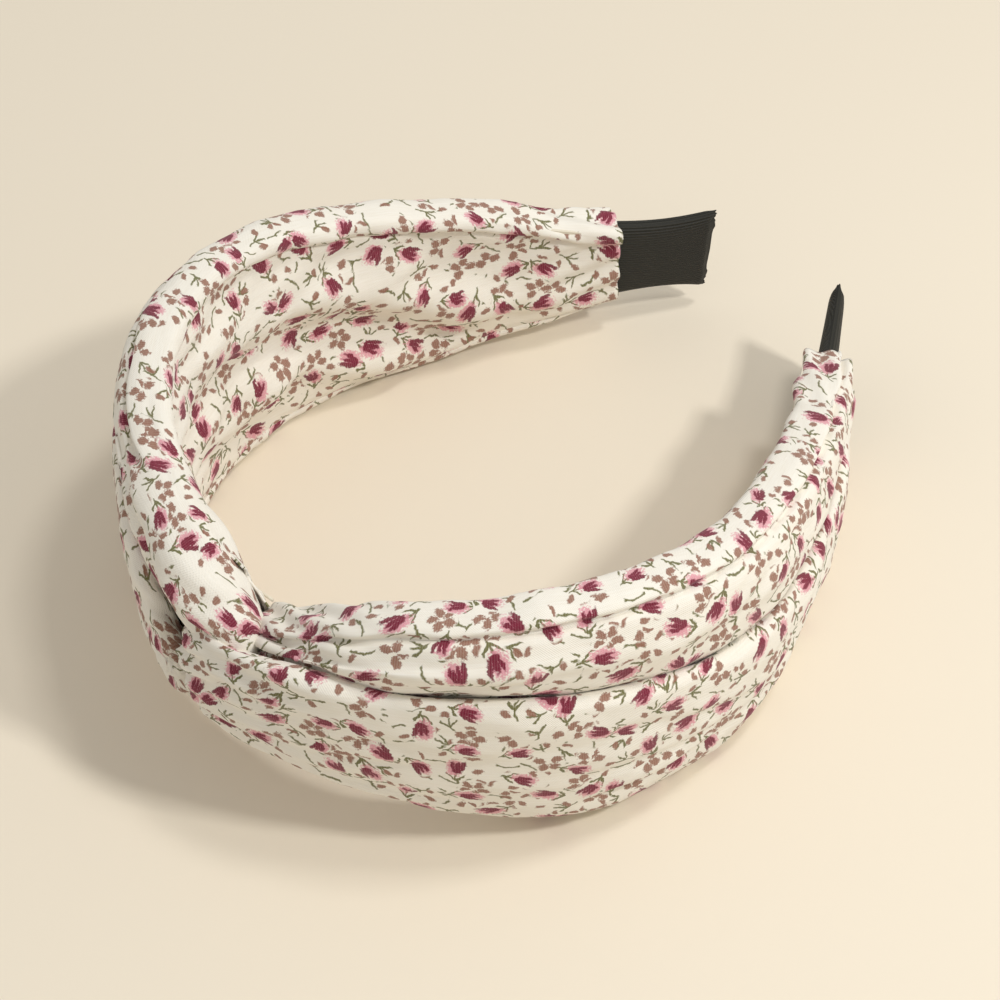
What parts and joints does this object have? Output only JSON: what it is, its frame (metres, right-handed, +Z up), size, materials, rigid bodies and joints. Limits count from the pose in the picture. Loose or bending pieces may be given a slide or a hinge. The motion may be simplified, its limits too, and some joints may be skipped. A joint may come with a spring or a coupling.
{
  "type": "knotted headband",
  "caption": "Wide fabric headband with a knotted crown, gathered arms and ribbon-wrapped ends on a springy hoop that opens over the head.",
  "frame": {"origin": "on the surface the headband lies on, under the middle of its overall box", "axes": "+Z up from the surface along the band's width, -Y towards the knotted crown, +Y towards the open tips, +X towards the right arm"},
  "size_m": [0.1328, 0.1614, 0.0565],
  "materials": {
    "printed_cotton": "plain-weave cotton, ivory with a small floral print, matt",
    "lining_cotton": "the same printed cotton, matt",
    "black_grosgrain": "ribbed black grosgrain ribbon",
    "hoop_plastic": "springy moulded plastic",
    "pad_foam": "thin open-cell foam",
    "sewing_thread": "ivory polyester thread",
    "clear_glue": "set hot-melt glue"
  },
  "bodies": {
    "crown": {"hoop_crown": "hoop_plastic", "crown_lining": "lining_cotton", "left_upper_roll": "printed_cotton", "left_lower_roll": "printed_cotton", "right_upper_fold": "printed_cotton", "right_lower_fold": "printed_cotton", "knot_inner_band": "printed_cotton", "knot_tack_stitch_1": "sewing_thread", "knot_tack_stitch_2": "sewing_thread", "knot_tack_stitch_3": "sewing_thread"},
    "left_arm": {"hoop_left_arm": "hoop_plastic", "left_foam_pad": "pad_foam", "left_cover_upper": "printed_cotton", "left_cover_lower": "printed_cotton", "left_lining": "lining_cotton", "left_end_glue": "clear_glue", "left_seam_thread": "sewing_thread", "left_end_ribbon": "black_grosgrain"},
    "right_arm": {"hoop_right_arm": "hoop_plastic", "right_foam_pad": "pad_foam", "right_cover_upper": "printed_cotton", "right_cover_lower": "printed_cotton", "right_lining": "lining_cotton", "right_end_glue": "clear_glue", "right_seam_thread": "sewing_thread", "right_end_ribbon": "black_grosgrain"}
  },
  "joints": [
    {"name": "left_arm_flex", "type": "hinge", "parent": "crown", "child": "left_arm", "pos_m": [-0.03373, -0.05749, 0.03], "axis": [0, 0, 1], "range_deg": [-4, 10], "stiffness_Nm_per_rad": 2.8},
    {"name": "right_arm_flex", "type": "hinge", "parent": "crown", "child": "right_arm", "pos_m": [0.03373, -0.05749, 0.03], "axis": [0, 0, -1], "range_deg": [-4, 10], "stiffness_Nm_per_rad": 2.8}
  ]
}
